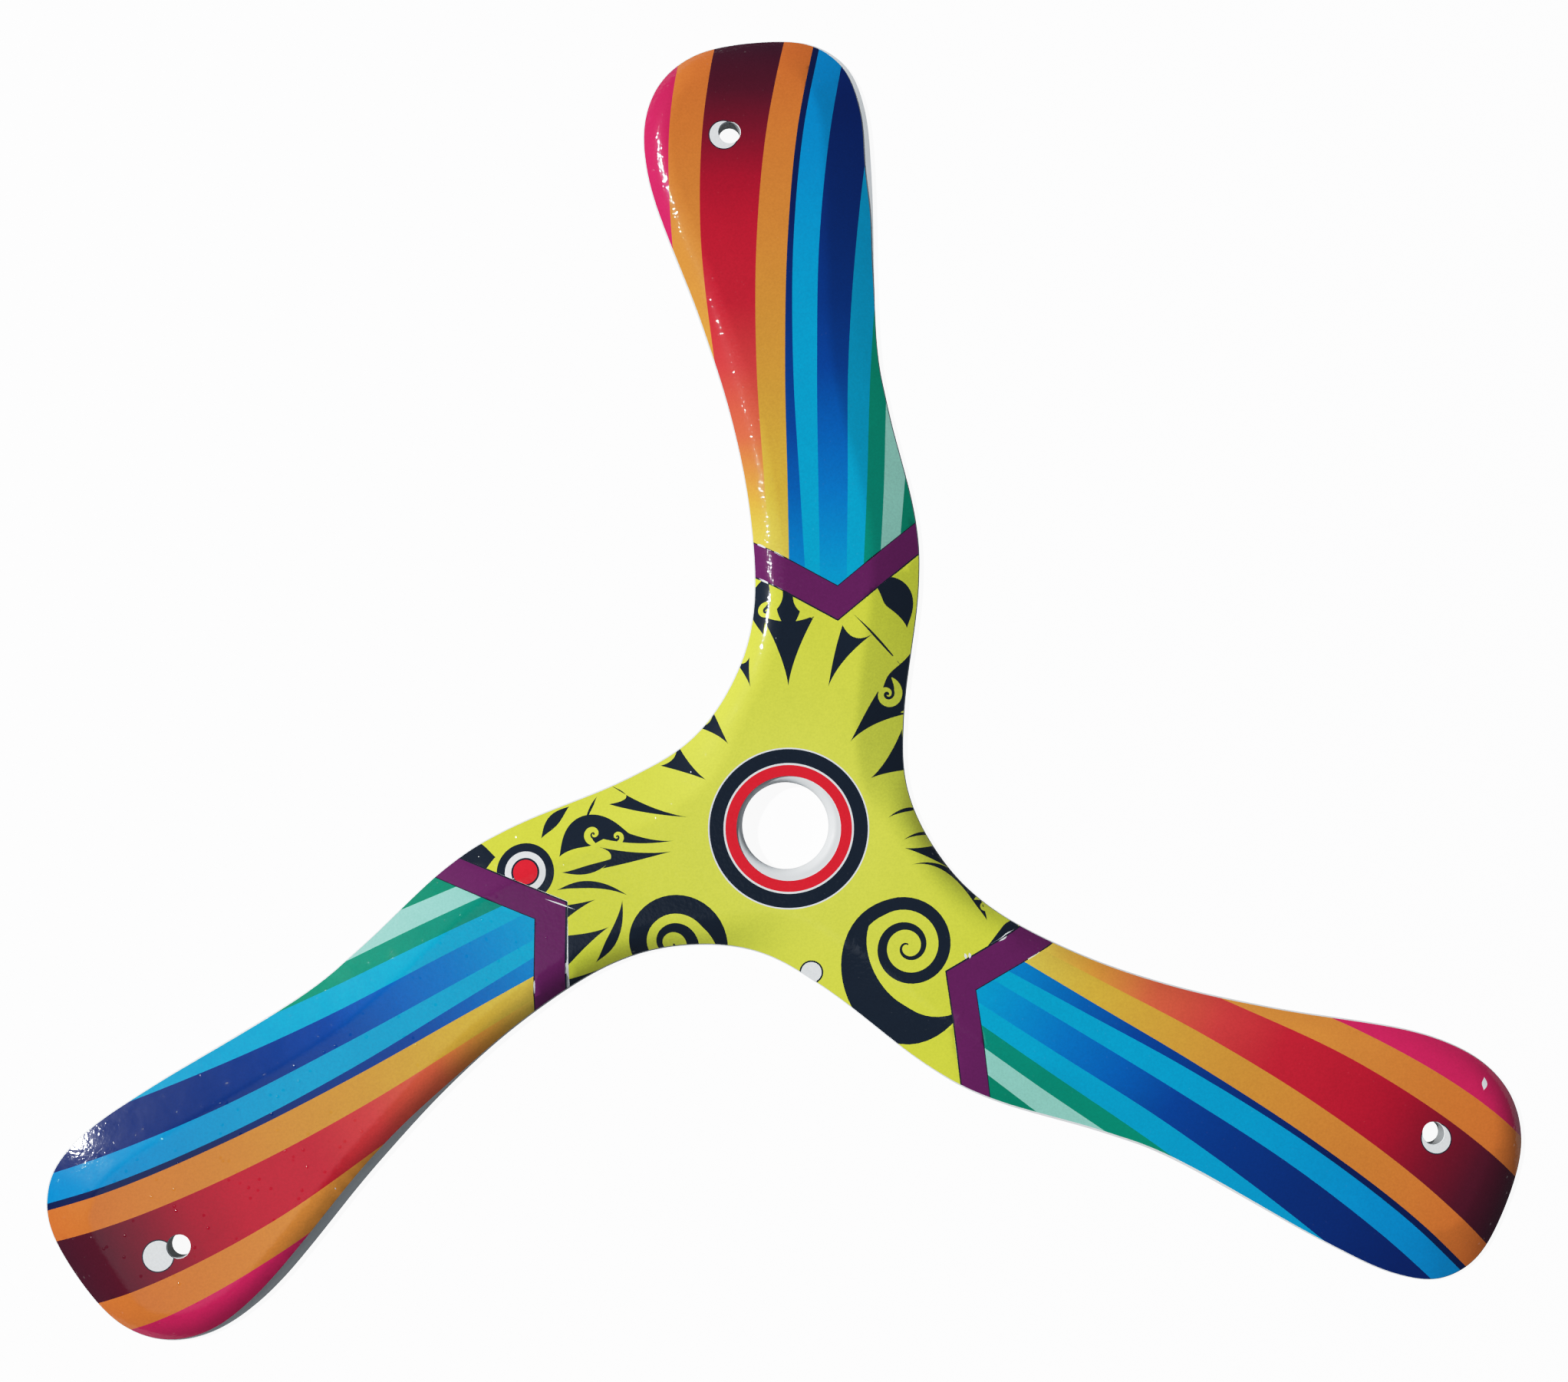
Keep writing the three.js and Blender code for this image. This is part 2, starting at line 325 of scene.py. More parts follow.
def inside(points, loop):
    """Which of the plan points a loop winds round."""
    found = np.zeros(len(points), bool)
    near = np.flatnonzero(((points > loop.min(0)) & (points < loop.max(0))).all(1))
    (x0, y0), (x1, y1) = loop.T, np.roll(loop, -1, 0).T
    for block in np.array_split(near, len(near) * len(loop) // 1000000 + 1):
        x, y = points[block, :1], points[block, 1:]
        side = (x1 - x0) * (y - y0) - (x - x0) * (y1 - y0)
        up = (y0 <= y) & (y1 > y) & (side > 0)
        down = (y0 > y) & (y1 <= y) & (side < 0)
        found[block] = up.sum(1) != down.sum(1)
    return found


def underside_loops():
    """Plan loops of the plate's underside, longest first and counterclockwise."""
    mesh = frame["nodes"]["plate"].data
    keys = [tuple(round(value / WELD) for value in vertex.co) for vertex in mesh.vertices]
    sides = set()
    for polygon in mesh.polygons:
        corners = [keys[index] for index in polygon.vertices]
        if all(abs(corner[2]) <= 1 for corner in corners):
            sides.update(zip(corners, corners[1:] + corners[:1]))
    follow = {start: end for start, end in sides if (end, start) not in sides}
    loops = []
    while follow:
        start, spot = follow.popitem()
        loop = [start]
        while spot != start:
            loop.append(spot)
            spot = follow.pop(spot)
        loops.append(np.array(loop, float)[::-1, :2] * WELD)
    return sorted(loops, key=len, reverse=True)


class Surface:
    """The plate's bevelled upper surface over its plan outline."""

    def __init__(self, sizes):
        loops = underside_loops()
        self.sizes = sizes
        self.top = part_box("plate")[1][2]
        self.outline = smooth_loop(loops[0], 4) * SHRINK
        ahead = np.roll(self.outline, -1, 0) - np.roll(self.outline, 1, 0)
        ahead /= np.linalg.norm(ahead, axis=1)[:, None]
        self.inward = np.stack([-ahead[:, 1], ahead[:, 0]], 1)
        clockwise = np.stack([self.outline[:, 1], -self.outline[:, 0]], 1)
        clockwise /= np.linalg.norm(clockwise, axis=1)[:, None]
        facing = -(self.inward * clockwise).sum(1)
        share = np.clip(facing / 1.3 + 0.5, 0, 1)
        self.share = share * share * (3 - 2 * share)
        self.width = sizes.leading_bevel + (sizes.trailing_bevel - sizes.leading_bevel) * self.share
        holes = [(loop.mean(0), np.linalg.norm(loop - loop.mean(0), axis=1).mean())
                 for loop in loops[1:]]
        holes.sort(key=lambda hole: np.linalg.norm(hole[0]))
        self.hub_hole = holes[0]
        self.tip_holes = sorted(holes[1:], key=lambda hole: self.blade_of(hole[0]))
        self.tree = KDTree(len(self.outline))
        for index, point in enumerate(self.outline):
            self.tree.insert((point[0], point[1], 0), index)
        self.tree.balance()

    @staticmethod
    def blade_of(point):
        """The number of the blade that a plan point lies on, clockwise from +Y."""
        bearing = math.degrees(math.atan2(point[0], point[1])) % 360
        return int(((bearing + 60) % 360) // 120)

    @staticmethod
    def rise(fraction, share):
        """How far up the bevel is: rounded on leading edges, flat with a soft crease on others."""
        soft = 0.1
        rounded = 1 - np.clip(1 - fraction, 0, 1) ** 2.2
        crease = 1 - np.clip(1 + soft - fraction, 0, 2 * soft) ** 2 / (4 * soft)
        flat = np.where(fraction < 1 - soft, fraction, crease)
        return rounded + (flat - rounded) * 0.9 * share

    def depth(self, points):
        """Distance of plan points in from the outline, and their nearest outline station."""
        nearest = np.array([self.tree.find((x, y, 0))[1] for x, y in points])
        gap = points - self.outline[nearest]
        return (gap * self.inward[nearest]).sum(1), nearest

    def height(self, points):
        """Height of the plate's upper surface over plan points."""
        depth, nearest = self.depth(points)
        fraction = np.clip(depth / self.width[nearest], 0, 2)
        edge = self.sizes.edge_height
        return edge + (self.top - edge) * self.rise(fraction, self.share[nearest])

    def ring(self, depths):
        """The outline moved inward by a depth, or by one depth for each station."""
        return self.outline + self.inward * np.reshape(depths, (-1, 1))


# Printing


def place_print(points, blade):
    """Moves plan points in millimetres from a print's own plan to where it lies on its blade."""
    moved = turn(points, PRINT_TURN[blade]) + np.array(PRINT_SHIFT[blade])
    return turn(moved, -120 * blade) * MM


def lift_print(points, blade):
    """The reverse of place_print."""
    moved = turn(np.asarray(points) / MM, 120 * blade) - np.array(PRINT_SHIFT[blade])
    return turn(moved, -PRINT_TURN[blade])


def band_line(shift, gaps=(0, 0, 0)):
    """The V across a blade, moved outward by a shift less the gaps, and run past both edges."""
    corners = (BAND_LEFT, BAND_APEX, BAND_RIGHT)
    left, apex, right = (np.array(point) + (0, shift - gap) for point, gap in zip(corners, gaps))
    start = left + (left - apex) / np.linalg.norm(left - apex) * BAND_REACH
    end = right + (right - apex) / np.linalg.norm(right - apex) * BAND_REACH
    return [start, apex, end]


def band_region(shift, gaps=(0, 0, 0)):
    """All of the plan from the V outward past the tip."""
    far = 175.0
    start, apex, end = band_line(shift, gaps)
    return np.array([apex, end, (end[0], far), (start[0], far), start])


def stripe_edge(knots):
    """A smooth line along the blade through the stripe's edge at the stations."""
    heights = np.arange(STATIONS[0], STATIONS[-1] + 1, 1.5)
    slopes = np.gradient(np.array(knots, float), STATIONS)
    xs = []
    for y in heights:
        k = min(np.searchsorted(STATIONS, y, side="right") - 1, len(STATIONS) - 2)
        span = STATIONS[k + 1] - STATIONS[k]
        t = (y - STATIONS[k]) / span
        xs.append(
            (2 * t ** 3 - 3 * t ** 2 + 1) * knots[k] + (t ** 3 - 2 * t ** 2 + t) * span * slopes[k]
            + (3 * t ** 2 - 2 * t ** 3) * knots[k + 1] + (t ** 3 - t ** 2) * span * slopes[k + 1])
    return np.stack([xs, heights], 1)


def stripe_region(knots):
    """All of the plan to the right of a stripe's left edge."""
    edge = stripe_edge(knots)
    far = 60.0
    return np.vstack([edge[::-1], [(edge[0][0], edge[0][1] - 8), (far, edge[0][1] - 8),
                                   (far, edge[-1][1] + 8), (edge[-1][0], edge[-1][1] + 8)]])


def stripe_colour(stops, along):
    """The stripe's colour at a station along the blade."""
    places = [stop[0] for stop in stops]
    colours = np.array([linear(stop[1]) for stop in stops])
    return [np.interp(along, places, colours[:, channel]) for channel in range(3)]


def thorn(bearing, tip, base, half_width, bend, scoop):
    """A thorn with flaring sides and a scooped base, its point towards the hub."""
    t = np.linspace(0, 1, 14)
    reach = tip + (base - tip) * t
    middle = bend * t ** 2
    half = half_width * (0.25 * t + 0.75 * t ** 1.6)
    left = np.stack([reach, middle + half], 1)
    right = np.stack([reach, middle - half], 1)[::-1]
    across = np.linspace(1, -1, 13)[1:-1]
    floor = np.stack([base - scoop * (1 - across ** 2), bend + half_width * across], 1)
    return turn(np.vstack([right, left[1:], floor]), bearing) + np.array(HUB_CENTRE)


def stroke(points, width, peak):
    """A curved brush stroke that is widest at the peak and tapers to both its ends."""
    points = np.array(points, float)
    spans = np.linalg.norm(np.diff(points, axis=0), axis=1)
    along = np.concatenate([[0], np.cumsum(spans)]) / spans.sum()
    t = np.linspace(0, 1, 33)
    degree = min(len(points) - 1, 3)
    path = np.stack([np.polyval(np.polyfit(along, points[:, axis], degree), t) for axis in (0, 1)], 1)
    ahead = np.gradient(path, axis=0)
    ahead /= np.linalg.norm(ahead, axis=1)[:, None]
    side = np.stack([-ahead[:, 1], ahead[:, 0]], 1)
    swell = np.where(t < peak, t / peak, (1 - t) / (1 - peak))
    half = width / 2 * np.sin(swell * math.pi / 2)[:, None] ** 1.2
    return np.vstack([path + side * half, (path - side * half)[-2:0:-1]])


def spiral(x, y, radius, turns, bearing, width):
    """A spiral band that grows wider outward from its centre to a rounded outer end."""
    steps = int(40 * abs(turns)) + 8
    t = np.linspace(0, 1, steps)
    angle = math.radians(bearing) - 2 * math.pi * turns * (1 - t)
    reach = radius * (0.05 + 0.95 * t ** 1.15)
    half = width / 2 * (0.16 + 0.84 * np.sin(np.clip(t * 1.12, 0, 1) * math.pi / 2) ** 2)
    half = half * np.sqrt(np.clip((1 - t) / 0.07, 0.02, 1))
    outer, inner = reach, reach - 2 * half
    inner = np.maximum(inner, 0.03 * radius)
    ray = np.stack([np.cos(angle), np.sin(angle)], 1)
    band = np.vstack([ray * outer[:, None], (ray * inner[:, None])[::-1]])
    return band + np.array((x, y))


# Meshes


def select_only(thing):
    """Makes one object the only selected and active one."""
    for other in bpy.context.view_layer.objects:
        other.select_set(False)
    thing.select_set(True)
    bpy.context.view_layer.objects.active = thing


def apply_modifier(thing, kind, **settings):
    """Adds a modifier with its settings and applies it."""
    select_only(thing)
    bpy.ops.object.modifier_add(type=kind)
    modifier = thing.modifiers[-1]
    for key, value in settings.items():
        setattr(modifier, key, value)
    bpy.ops.object.modifier_apply(modifier=modifier.name)


def finish_piece(thing, name, node):
    """Names a piece, smooths it, rides it on the body and lets it stand for its CAD node."""
    thing.name = name
    thing.data.name = name
    select_only(thing)
    bpy.ops.object.shade_smooth_by_angle(angle=math.radians(38))
    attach(thing, BODY)
    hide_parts(node)


def film_grid(surface, margin):
    """Plan points that carry the film over the bevels and across the plateau."""
    points = [surface.ring(margin)]
    for fraction in BEVEL_STEPS[1:]:
        points.append(surface.ring(surface.width * fraction)[::2 if fraction < 0.9 else 1])
    low, high = surface.outline.min(0), surface.outline.max(0)
    step = 2.2 * MM
    rows = []
    for row, y in enumerate(np.arange(low[1], high[1], step * 0.866)):
        xs = np.arange(low[0] + (row % 2) * step / 2, high[0], step)
        rows.append(np.stack([xs, np.full(len(xs), y)], 1))
    inner = np.vstack(rows)
    depth, nearest = surface.depth(inner)
    inner = inner[depth > surface.width[nearest] * 1.12 + 0.6 * MM]
    grid = np.vstack(points + [inner])
    depth, _ = surface.depth(grid)
    return grid[depth > margin.min()]


def film_margin(surface):
    """How far in from the plate's edge the film was trimmed, station by station."""
    count = len(surface.outline)
    wave = np.arange(count) / count * 2 * math.pi
    margin = surface.sizes.film_inset * (1 + 0.16 * np.sin(7 * wave + 1) + 0.1 * np.sin(17 * wave))
    for x, y, reach, extra in TRIMMED:
        gap = np.linalg.norm(surface.outline - np.array((x, y)) * MM, axis=1)
        margin += extra * MM * np.exp(-(gap / (reach * MM)) ** 4)
    return margin


def cut_film(surface, grid, border, bounds, gaps, artwork):
    """Cuts a piece of film out of the plan along all its printed edges.

    The piece lies within the border and all the bounds, and clear of the gaps. The artwork is
    a list of loops and colour functions, and the last one that covers a spot is the one seen.
    """
    coords, edges = grid.tolist(), []
    for loop in [border] + bounds + gaps + [loop for loop, _ in artwork]:
        first, count = len(coords), len(loop)
        edges.extend((first + k, first + (k + 1) % count) for k in range(count))
        coords.extend(loop.tolist())
    plan, _, triangles, _, _, _ = delaunay_2d_cdt(
        [Vector(point) for point in coords], edges, [], 0, 0.003 * MM)
    plan = np.array([tuple(point) for point in plan])
    triangles = np.array([tuple(triangle) for triangle in triangles])
    middles = plan[triangles].mean(1)
    wanted = inside(middles, border)
    for loop in bounds:
        wanted &= inside(middles, loop)
    for loop in gaps:
        wanted &= ~inside(middles, loop)
    triangles, middles = triangles[wanted], middles[wanted]
    a, b, c = plan[triangles[:, 0]], plan[triangles[:, 1]], plan[triangles[:, 2]]
    area = (b - a)[:, 0] * (c - a)[:, 1] - (b - a)[:, 1] * (c - a)[:, 0]
    kept = np.where(area[:, None] > 0, triangles, triangles[:, ::-1]).tolist()
    inks = np.zeros(len(kept), int)
    for number, (loop, _) in enumerate(artwork):
        inks[inside(middles, loop)] = number
    used = sorted({index for triangle in kept for index in triangle})
    place = {index: number for number, index in enumerate(used)}
    plan = plan[used]
    heights = surface.height(plan) + surface.sizes.film_lift
    mesh = bpy.data.meshes.new("film")
    mesh.from_pydata(
        [(x, y, z) for (x, y), z in zip(plan, heights)], [],
        [[place[index] for index in triangle] for triangle in kept])
    print_colour = mesh.color_attributes.new("print", "FLOAT_COLOR", "CORNER")
    values = np.ones((len(mesh.loops), 4))
    corner = 0
    for triangle, ink in zip(kept, inks):
        colour = artwork[ink][1]
        for index in triangle:
            values[corner, :3] = colour(plan[place[index]])
            corner += 1
    print_colour.data.foreach_set("color", values.ravel())
    mesh.update()
    film = bpy.data.objects.new("film", mesh)
    bpy.context.collection.objects.link(film)
    return film


def flat_ink(colours, name):
    """An ink of one colour, wherever it is printed."""
    value = tuple(getattr(colours, name))
    return lambda point: value


def flecks(ink):
    """The white flecks, for either kind of print."""
    shapes = []
    for start, end, width in FLECKS:
        middle = ((start[0] + end[0]) / 2 + 0.1, (start[1] + end[1]) / 2)
        shapes.append((stroke([start, middle, end], width, 0.5) * MM, ink))
    return shapes


def blade_artwork(blade, colours):
    """The loops and inks of one blade's print, in the order they are printed."""
    def stripe_ink(stops):
        return lambda point: stripe_colour(stops, lift_print([point], blade)[0][1])

    whole = np.array([(-90, 0), (90, 0), (90, 180), (-90, 180)], float)
    artwork = [(place_print(whole, blade), stripe_ink(STRIPES[0][2]))]
    for _, knots, stops in STRIPES[1:]:
        artwork.append((place_print(stripe_region(knots), blade), stripe_ink(stops)))
    edges = ((-3 * BAND_LINE, BAND_DEPTH + BAND_LINE, "black"), (-0.5 * BAND_LINE, BAND_DEPTH, "band"))
    for low, high, ink in edges:
        loop = np.array(band_line(low) + band_line(high)[::-1])
        artwork.append((place_print(loop, blade), flat_ink(colours, ink)))
    for radius, ink in ((TARGET_RADIUS + TARGET_LINE, "black"), (TARGET_RADIUS, "white")):
        artwork.append((place_print(circle(TARGET_CENTRE, radius), blade), flat_ink(colours, ink)))
    return artwork + flecks(flat_ink(colours, "white"))


def hub_artwork(colours):
    """The loops and inks of the hub's print, in the order they are printed."""
    ground, glow = np.array(colours.ground), np.array(colours.glow)

    def ground_ink(point):
        reach = math.hypot(point[0], point[1])
        share = min(1, max(0, (0.045 - reach) / 0.035))
        return ground + (glow - ground) * share

    whole = np.array([(-90, -90), (90, -90), (90, 90), (-90, 90)], float) * MM
    artwork = [(whole, ground_ink)]
    for shape in THORNS:
        artwork.append((thorn(*shape) * MM, flat_ink(colours, "black")))
    for shape in STROKES:
        artwork.append((stroke(*shape) * MM, flat_ink(colours, "black")))
    for shape in LIGHT_STROKES:
        artwork.append((stroke(*shape) * MM, ground_ink))
    for shape in LIGHT_SPIRALS:
        artwork.append((spiral(*shape) * MM, ground_ink))
    for shape in SPIRALS:
        artwork.append((spiral(*shape) * MM, flat_ink(colours, "black")))
    for x, y, *radii in TARGETS:
        for radius, ink in zip(radii, ("black", "white", "black", "red")):
            artwork.append((circle((x, y), radius) * MM, flat_ink(colours, ink)))
    for radius, ink in HUB_RINGS:
        artwork.append((circle(HUB_CENTRE, radius, 180) * MM, flat_ink(colours, ink)))
    return artwork + flecks(flat_ink(colours, "white"))


# Materials


def new_material(name):
    """An empty node material with its Principled shader joined to the output."""
    material = bpy.data.materials.new(name)
    material.use_nodes = True
    tree = material.node_tree
    tree.nodes.clear()
    output = tree.nodes.new("ShaderNodeOutputMaterial")
    shader = tree.nodes.new("ShaderNodeBsdfPrincipled")
    tree.links.new(shader.outputs["BSDF"], output.inputs["Surface"])
    return material, tree, shader


def add_node(tree, kind, settings=None, **inputs):
    """Adds a node, sets its options and its inputs, and joins inputs that are sockets."""
    node = tree.nodes.new(kind)
    for key, value in (settings or {}).items():
        setattr(node, key, value)
    for key, value in inputs.items():
        socket = node.inputs[int(key[1:])] if key[0] == "_" and key[1:].isdigit() else node.inputs[key]
        if isinstance(value, bpy.types.NodeSocket):
            tree.links.new(value, socket)
        else:
            socket.default_value = value
    return node


def noise(tree, place, scale, detail, roughness, distortion=0.0):
    """A noise texture's value output."""
    return add_node(
        tree, "ShaderNodeTexNoise", Vector=place, Scale=scale, Detail=detail,
        Roughness=roughness, Distortion=distortion).outputs["Fac"]


def remap(tree, value, low, high, to_low, to_high, shape="LINEAR"):
    """Maps a value's range to another and holds it at both ends."""
    return add_node(
        tree, "ShaderNodeMapRange", {"interpolation_type": shape}, _0=value, _1=low, _2=high,
        _3=to_low, _4=to_high).outputs[0]


def film_material(name, peel_depth):
    """Printed vinyl: ink with a fine mottle under a glossy face with an orange-peel grain."""
    material, tree, shader = new_material(name)
    place = add_node(tree, "ShaderNodeTexCoord").outputs["Object"]
    ink = add_node(tree, "ShaderNodeAttribute", {"attribute_name": "print"}).outputs["Color"]
    grain = noise(tree, place, 2600, 2, 0.6)
    cloud = noise(tree, place, 90, 4, 0.6)
    mottle = remap(tree, grain, 0.3, 0.7, 0.93, 1.06)
    patches = remap(tree, cloud, 0.3, 0.7, 0.97, 1.03)
    shade = add_node(tree, "ShaderNodeMath", {"operation": "MULTIPLY"}, _0=mottle, _1=patches)
    inked = add_node(tree, "ShaderNodeVectorMath", {"operation": "SCALE"}, _0=ink)
    tree.links.new(shade.outputs[0], inked.inputs["Scale"])
    tree.links.new(inked.outputs[0], shader.inputs["Base Color"])
    scuffs = noise(tree, place, 220, 6, 0.7, 0.6)
    tree.links.new(remap(tree, scuffs, 0.4, 0.75, 0.3, 0.5), shader.inputs["Roughness"])
    swell = noise(tree, place, 170, 3, 0.5)
    low = add_node(tree, "ShaderNodeBump", Height=swell, Strength=1.0, Distance=0.06 * MM)
    pebble = noise(tree, place, 1500, 2, 0.5)
    fine = add_node(
        tree, "ShaderNodeBump", Height=pebble, Normal=low.outputs[0], Strength=1.0,
        Distance=peel_depth * MM)
    cells = add_node(tree, "ShaderNodeTexVoronoi", Vector=place, Scale=600)
    chance = remap(tree, cells.outputs["Color"], 0.42, 0.44, 0.0, 1.0)
    dome = remap(tree, cells.outputs["Distance"], 0.0, 0.2, 1.0, 0.0, "SMOOTHSTEP")
    dust = add_node(tree, "ShaderNodeMath", {"operation": "MULTIPLY"}, _0=chance, _1=dome)
    specks = add_node(
        tree, "ShaderNodeBump", Height=dust.outputs[0], Normal=fine.outputs[0], Strength=1.0,
        Distance=0.09 * MM)
    tree.links.new(low.outputs[0], shader.inputs["Normal"])
    tree.links.new(specks.outputs[0], shader.inputs["Coat Normal"])
    shader.inputs["Specular IOR Level"].default_value = 0.03
    shader.inputs["Coat Weight"].default_value = 0.8
    shader.inputs["Coat Roughness"].default_value = 0.055
    return material


def film_edge_material():
    """The film's cut edge: white vinyl, a little grey with handling."""
    material, tree, shader = new_material("film_cut_edge")
    place = add_node(tree, "ShaderNodeTexCoord").outputs["Object"]
    dirt = noise(tree, place, 700, 4, 0.6)
    ramp = add_node(tree, "ShaderNodeValToRGB", Fac=dirt)
    ramp.color_ramp.elements[0].position = 0.35
    ramp.color_ramp.elements[0].color = (*linear((120, 122, 128)), 1)
    ramp.color_ramp.elements[1].position = 0.6
    ramp.color_ramp.elements[1].color = (*linear((214, 216, 218)), 1)
    tree.links.new(ramp.outputs[0], shader.inputs["Base Color"])
    tree.links.new(remap(tree, dirt, 0.3, 0.7, 0.6, 0.4), shader.inputs["Roughness"])
    return material


def plastic_material(colours, name, tone=1.0):
    """White sheet plastic with sanding marks, faint mottling and a trace of grime; a darker copy of it
    paints the shade on the tip-hole walls.
    """
    material, tree, shader = new_material(name)
    place = add_node(tree, "ShaderNodeTexCoord").outputs["Object"]
    cloud = noise(tree, place, 70, 5, 0.6)
    ramp = add_node(tree, "ShaderNodeValToRGB", Fac=cloud)
    sheet_colour = np.array(colours.plastic) * tone
    ramp.color_ramp.elements[0].position = 0.3
    ramp.color_ramp.elements[0].color = (*(sheet_colour * 0.9), 1)
    ramp.color_ramp.elements[1].position = 0.62
    ramp.color_ramp.elements[1].color = (*sheet_colour, 1)
    tree.links.new(ramp.outputs[0], shader.inputs["Base Color"])
    stretch = add_node(tree, "ShaderNodeMapping", Vector=place, Scale=(1, 1, 0.12))
    marks = noise(tree, stretch.outputs[0], 1400, 3, 0.7)
    tree.links.new(remap(tree, marks, 0.3, 0.7, 0.38, 0.62), shader.inputs["Roughness"])
    bump = add_node(tree, "ShaderNodeBump", Height=marks, Strength=0.3, Distance=0.06 * MM)
    tree.links.new(bump.outputs[0], shader.inputs["Normal"])
    return material


def floor_material():
    """A plain pale floor with the faintest mottle, clear when it is looked at from below."""
    material, tree, shader = new_material("pale_floor")
    place = add_node(tree, "ShaderNodeTexCoord").outputs["Object"]
    value = noise(tree, place, 3, 3, 0.5)
    ramp = add_node(tree, "ShaderNodeValToRGB", Fac=value)
    ramp.color_ramp.elements[0].color = (0.37, 0.375, 0.38, 1)
    ramp.color_ramp.elements[1].color = (0.4, 0.4, 0.4, 1)
    tree.links.new(ramp.outputs[0], shader.inputs["Base Color"])
    shader.inputs["Emission Color"].default_value = (1, 1, 1, 1)
    seen = add_node(tree, "ShaderNodeLightPath").outputs["Is Camera Ray"]
    tree.links.new(remap(tree, seen, 0, 1, 0.12, 1.6), shader.inputs["Emission Strength"])
    shader.inputs["Roughness"].default_value = 0.85
    below = add_node(tree, "ShaderNodeNewGeometry").outputs["Backfacing"]
    clear = add_node(tree, "ShaderNodeBsdfTransparent")
    mixed = add_node(
        tree, "ShaderNodeMixShader", _0=below, _1=shader.outputs[0], _2=clear.outputs[0])
    output = next(node for node in tree.nodes if node.type == "OUTPUT_MATERIAL")
    tree.links.new(mixed.outputs[0], output.inputs["Surface"])
    return material


# Operators


class BOOMERANG_OT_plate(bpy.types.Operator):
    """Models the bevelled plate with its hub hole and tip holes"""

    bl_idname = "boomerang.plate"
    bl_label = "Plate"

    def execute(self, context):
        sizes = context.scene.boomerang_sizes
        surface = Surface(sizes)
        edge = sizes.edge_height
        rings = [(0.14 * MM, 0.0), (0.04 * MM, 0.04 * MM), (0.0, 0.14 * MM), (0.0, edge)]
        plate = self.extrude_body(surface, rings)
        colours = context.scene.boomerang_colours
        plate.data.materials.append(plastic_material(colours, "white_sheet_plastic"))
        # A darker copy of the plastic, for the painted shade on the tip-hole walls.
        plate.data.materials.append(plastic_material(colours, "drilled_wall", BORE_PAINTED_SHADE))
        self.drill(plate, surface.hub_hole, sizes.rim_radius, 8, surface.top)
        for hole in surface.tip_holes:
            self.drill(plate, hole, 0.2 * MM, 2, surface.top)
            # Painted shade on the hole's upright wall.
            self.paint_bore_shade(plate, hole)
        finish_piece(plate, "white_plate", "plate")
        return {"FINISHED"}

    @staticmethod
    def extrude_body(surface, rings):
        """Starts from a filled circle laid on the outline and extrudes it ring by ring."""
        count = len(surface.outline)
        bpy.ops.mesh.primitive_circle_add(vertices=count, radius=0.1, fill_type="NGON")
        plate = bpy.context.object
        shapes = [(surface.ring(depth), np.full(count, z)) for depth, z in rings]
        edge = surface.sizes.edge_height
        for fraction in BEVEL_STEPS:
            z = edge + (surface.top - edge) * surface.rise(np.full(count, fraction), surface.share)
            shapes.append((surface.ring(surface.width * fraction), z))
        mesh = plate.data
        order = mesh.attributes.new("station", "INT", "POINT")
        order.data.foreach_set("value", np.arange(count))
        plan, z = shapes[0]
        for vertex, (x, y), height in zip(mesh.vertices, plan, z):
            vertex.co = (x, y, height)
        bpy.ops.object.mode_set(mode="EDIT")
        bpy.ops.mesh.select_all(action="SELECT")
        for plan, z in shapes[1:]:
            bpy.ops.mesh.extrude_region_move()
            edit = bmesh.from_edit_mesh(mesh)
            station = edit.verts.layers.int["station"]
            for vertex in edit.verts:
                if vertex.select:
                    index = vertex[station]
                    vertex.co = (plan[index][0], plan[index][1], z[index])
            bmesh.update_edit_mesh(mesh)
        bpy.ops.mesh.select_all(action="SELECT")
        bpy.ops.mesh.normals_make_consistent(inside=False)
        bpy.ops.object.mode_set(mode="OBJECT")
        mesh.attributes.remove(mesh.attributes["station"])
        return plate

    @staticmethod
    def drill(plate, hole, rounding, segments, top):
        """Cuts a round hole with a cylinder and rounds its upper rim."""
        centre, radius = hole
        bpy.ops.mesh.primitive_cylinder_add(
            vertices=160 if radius > 5 * MM else 64, radius=radius, depth=4 * top,
            location=(centre[0], centre[1], top / 2))
        cutter = bpy.context.object
        apply_modifier(plate, "BOOLEAN", object=cutter, operation="DIFFERENCE", solver="EXACT")
        bpy.data.objects.remove(cutter)
        bpy.ops.object.mode_set(mode="EDIT")
        bpy.ops.mesh.select_mode(type="EDGE")
        bpy.ops.mesh.select_all(action="DESELECT")
        edit = bmesh.from_edit_mesh(plate.data)
        for edge in edit.edges:
            reach = [math.hypot(v.co.x - centre[0], v.co.y - centre[1]) for v in edge.verts]
            on_rim = all(abs(r - radius) < 0.02 * MM for r in reach)
            if on_rim and all(abs(v.co.z - top) < 0.01 * MM for v in edge.verts):
                edge.select_set(True)
        bmesh.update_edit_mesh(plate.data)
        bpy.ops.mesh.bevel(offset=rounding, segments=segments, affect="EDGES")
        bpy.ops.object.mode_set(mode="OBJECT")

    @staticmethod
    def paint_bore_shade(plate, hole):
        """Paints shade on the wall of a tip hole with the darker copy of the plastic."""
        centre, radius = hole
        for face in plate.data.polygons:
            reach = math.hypot(face.center[0] - centre[0], face.center[1] - centre[1])
            if reach < 1.1 * radius and abs(face.normal[2]) < 0.3:
                face.material_index = 1


